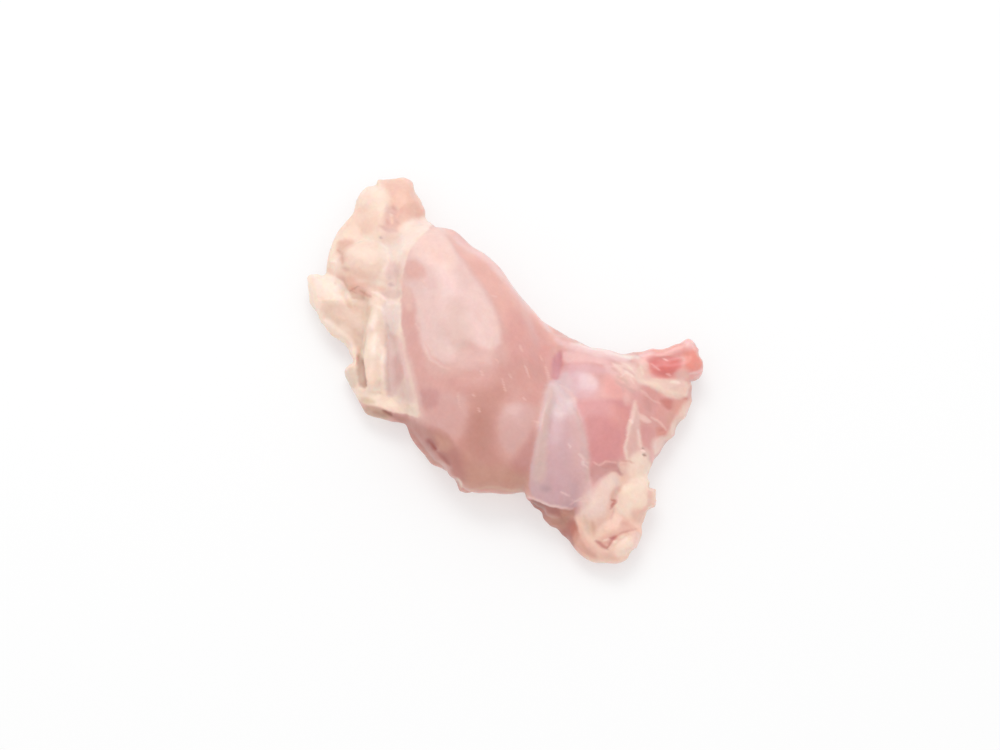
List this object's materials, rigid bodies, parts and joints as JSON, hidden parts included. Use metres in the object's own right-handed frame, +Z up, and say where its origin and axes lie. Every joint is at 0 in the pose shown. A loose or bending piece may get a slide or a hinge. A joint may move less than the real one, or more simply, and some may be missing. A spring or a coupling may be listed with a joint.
{
  "type": "raw skinless chicken thigh",
  "caption": "Raw skinless chicken thigh lying flat: a broad outer muscle, a smaller inner muscle under silver skin, a cut red stub, and folded fat at the hip and knee ends.",
  "frame": {"origin": "middle of the footprint, on the surface the thigh lies on", "axes": "+X along the thigh from the fatty hip end to the knee end, +Y across it towards the cut stub's side, +Z up from the surface it lies on"},
  "size_m": [0.1398, 0.0808, 0.024],
  "materials": {
    "meat": "moist, soft gloss"
  },
  "bodies": {
    "root": {"thigh": "meat"}
  },
  "joints": []
}
